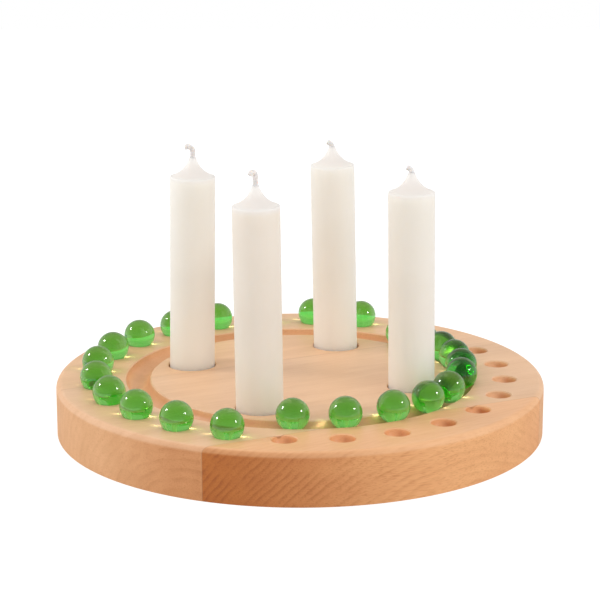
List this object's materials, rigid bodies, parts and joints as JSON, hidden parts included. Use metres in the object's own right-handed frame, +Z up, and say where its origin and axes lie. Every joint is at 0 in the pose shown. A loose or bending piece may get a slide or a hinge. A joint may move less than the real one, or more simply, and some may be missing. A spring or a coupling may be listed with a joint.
{
  "type": "advent candle holder",
  "caption": "Round beech advent candle holder: straight candles in drilled sockets, green glass marbles in a ring groove and in a ring of counting dimples near the rim.",
  "frame": {"origin": "centre of the disc's underside, on the table", "axes": "+Z up; -Y towards the front of the picture, +X to its right"},
  "size_m": [0.236, 0.236, 0.1373],
  "materials": {
    "beech": "fine sanded, oiled",
    "wax": "satin candle wax",
    "wick": "waxed cotton braid",
    "green_glass": "clear, polished"
  },
  "bodies": {
    "disc": {"front_board": "beech", "middle_board": "beech", "back_board": "beech"},
    "candle_1": {"candle_wax_1": "wax", "candle_wick_1": "wick"},
    "candle_2": {"candle_wax_2": "wax", "candle_wick_2": "wick"},
    "candle_3": {"candle_wax_3": "wax", "candle_wick_3": "wick"},
    "candle_4": {"candle_wax_4": "wax", "candle_wick_4": "wick"},
    "marble_01": {"marble_01": "green_glass"},
    "marble_02": {"marble_02": "green_glass"},
    "marble_03": {"marble_03": "green_glass"},
    "marble_04": {"marble_04": "green_glass"},
    "marble_05": {"marble_05": "green_glass"},
    "marble_06": {"marble_06": "green_glass"},
    "marble_07": {"marble_07": "green_glass"},
    "marble_08": {"marble_08": "green_glass"},
    "marble_09": {"marble_09": "green_glass"},
    "marble_10": {"marble_10": "green_glass"},
    "marble_11": {"marble_11": "green_glass"},
    "marble_12": {"marble_12": "green_glass"},
    "marble_13": {"marble_13": "green_glass"},
    "marble_14": {"marble_14": "green_glass"},
    "marble_15": {"marble_15": "green_glass"},
    "marble_16": {"marble_16": "green_glass"},
    "marble_17": {"marble_17": "green_glass"},
    "marble_18": {"marble_18": "green_glass"},
    "marble_19": {"marble_19": "green_glass"},
    "marble_20": {"marble_20": "green_glass"},
    "marble_21": {"marble_21": "green_glass"},
    "marble_22": {"marble_22": "green_glass"},
    "marble_23": {"marble_23": "green_glass"},
    "marble_24": {"marble_24": "green_glass"}
  },
  "joints": [
    {"name": "candle_1_lift", "type": "slide", "parent": "disc", "child": "candle_1", "axis": [0, 0, 1], "range_m": [0, 0.03]},
    {"name": "candle_2_lift", "type": "slide", "parent": "disc", "child": "candle_2", "axis": [0, 0, 1], "range_m": [0, 0.03]},
    {"name": "candle_3_lift", "type": "slide", "parent": "disc", "child": "candle_3", "axis": [0, 0, 1], "range_m": [0, 0.03]},
    {"name": "candle_4_lift", "type": "slide", "parent": "disc", "child": "candle_4", "axis": [0, 0, 1], "range_m": [0, 0.03]},
    {"name": "marble_01_lift", "type": "slide", "parent": "disc", "child": "marble_01", "axis": [0, 0, 1], "range_m": [0, 0.025]},
    {"name": "marble_02_lift", "type": "slide", "parent": "disc", "child": "marble_02", "axis": [0, 0, 1], "range_m": [0, 0.025]},
    {"name": "marble_03_lift", "type": "slide", "parent": "disc", "child": "marble_03", "axis": [0, 0, 1], "range_m": [0, 0.025]},
    {"name": "marble_04_lift", "type": "slide", "parent": "disc", "child": "marble_04", "axis": [0, 0, 1], "range_m": [0, 0.025]},
    {"name": "marble_05_lift", "type": "slide", "parent": "disc", "child": "marble_05", "axis": [0, 0, 1], "range_m": [0, 0.025]},
    {"name": "marble_06_lift", "type": "slide", "parent": "disc", "child": "marble_06", "axis": [0, 0, 1], "range_m": [0, 0.025]},
    {"name": "marble_07_lift", "type": "slide", "parent": "disc", "child": "marble_07", "axis": [0, 0, 1], "range_m": [0, 0.025]},
    {"name": "marble_08_lift", "type": "slide", "parent": "disc", "child": "marble_08", "axis": [0, 0, 1], "range_m": [0, 0.025]},
    {"name": "marble_09_lift", "type": "slide", "parent": "disc", "child": "marble_09", "axis": [0, 0, 1], "range_m": [0, 0.025]},
    {"name": "marble_10_lift", "type": "slide", "parent": "disc", "child": "marble_10", "axis": [0, 0, 1], "range_m": [0, 0.025]},
    {"name": "marble_11_lift", "type": "slide", "parent": "disc", "child": "marble_11", "axis": [0, 0, 1], "range_m": [0, 0.025]},
    {"name": "marble_12_lift", "type": "slide", "parent": "disc", "child": "marble_12", "axis": [0, 0, 1], "range_m": [0, 0.025]},
    {"name": "marble_13_lift", "type": "slide", "parent": "disc", "child": "marble_13", "axis": [0, 0, 1], "range_m": [0, 0.025]},
    {"name": "marble_14_roll", "type": "hinge", "parent": "disc", "child": "marble_14", "pos_m": [0, 0, 0.025], "axis": [0, 0, 1], "continuous": true},
    {"name": "marble_15_roll", "type": "hinge", "parent": "disc", "child": "marble_15", "pos_m": [0, 0, 0.025], "axis": [0, 0, 1], "continuous": true},
    {"name": "marble_16_roll", "type": "hinge", "parent": "disc", "child": "marble_16", "pos_m": [0, 0, 0.025], "axis": [0, 0, 1], "continuous": true},
    {"name": "marble_17_roll", "type": "hinge", "parent": "disc", "child": "marble_17", "pos_m": [0, 0, 0.025], "axis": [0, 0, 1], "continuous": true},
    {"name": "marble_18_roll", "type": "hinge", "parent": "disc", "child": "marble_18", "pos_m": [0, 0, 0.025], "axis": [0, 0, 1], "continuous": true},
    {"name": "marble_19_roll", "type": "hinge", "parent": "disc", "child": "marble_19", "pos_m": [0, 0, 0.025], "axis": [0, 0, 1], "continuous": true},
    {"name": "marble_20_roll", "type": "hinge", "parent": "disc", "child": "marble_20", "pos_m": [0, 0, 0.025], "axis": [0, 0, 1], "continuous": true},
    {"name": "marble_21_roll", "type": "hinge", "parent": "disc", "child": "marble_21", "pos_m": [0, 0, 0.025], "axis": [0, 0, 1], "continuous": true},
    {"name": "marble_22_roll", "type": "hinge", "parent": "disc", "child": "marble_22", "pos_m": [0, 0, 0.025], "axis": [0, 0, 1], "continuous": true},
    {"name": "marble_23_roll", "type": "hinge", "parent": "disc", "child": "marble_23", "pos_m": [0, 0, 0.025], "axis": [0, 0, 1], "continuous": true},
    {"name": "marble_24_roll", "type": "hinge", "parent": "disc", "child": "marble_24", "pos_m": [0, 0, 0.025], "axis": [0, 0, 1], "continuous": true}
  ],
  "couplings": [
    {"joint": "marble_15_roll", "follows": "marble_14_roll", "ratio": 1},
    {"joint": "marble_16_roll", "follows": "marble_14_roll", "ratio": 1},
    {"joint": "marble_17_roll", "follows": "marble_14_roll", "ratio": 1},
    {"joint": "marble_18_roll", "follows": "marble_14_roll", "ratio": 1},
    {"joint": "marble_19_roll", "follows": "marble_14_roll", "ratio": 1},
    {"joint": "marble_20_roll", "follows": "marble_14_roll", "ratio": 1},
    {"joint": "marble_21_roll", "follows": "marble_14_roll", "ratio": 1},
    {"joint": "marble_22_roll", "follows": "marble_14_roll", "ratio": 1},
    {"joint": "marble_23_roll", "follows": "marble_14_roll", "ratio": 1},
    {"joint": "marble_24_roll", "follows": "marble_14_roll", "ratio": 1}
  ]
}
